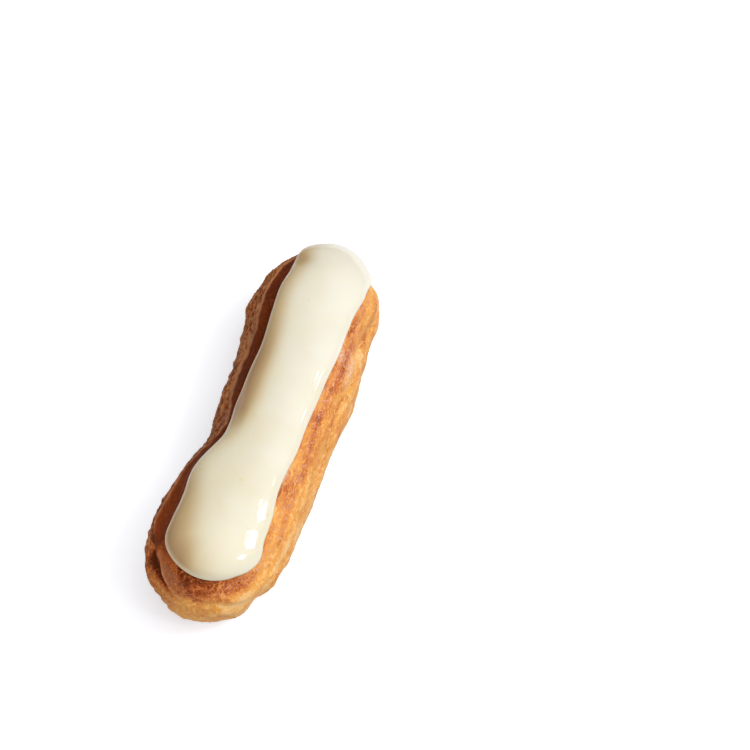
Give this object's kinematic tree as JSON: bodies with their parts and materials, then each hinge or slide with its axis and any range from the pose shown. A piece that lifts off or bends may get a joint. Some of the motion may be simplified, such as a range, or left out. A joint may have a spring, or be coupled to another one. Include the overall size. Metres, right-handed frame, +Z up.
{
  "type": "vanilla eclair",
  "caption": "Eclair: a long bun of browned choux pastry with a smooth band of poured vanilla icing on its crown.",
  "frame": {"origin": "on the surface that the eclair rests on, under the middle of its box", "axes": "+X along the bun towards the end with the round tip of icing, +Y across it towards the broad lit flank, +Z up"},
  "size_m": [0.1298, 0.0436, 0.034],
  "materials": {
    "choux_crust": "baked choux crust, browned and finely cracked, satin",
    "vanilla_icing": "poured icing, ivory, glossy"
  },
  "bodies": {
    "root": {"choux_bun": "choux_crust", "vanilla_icing": "vanilla_icing"}
  },
  "joints": []
}
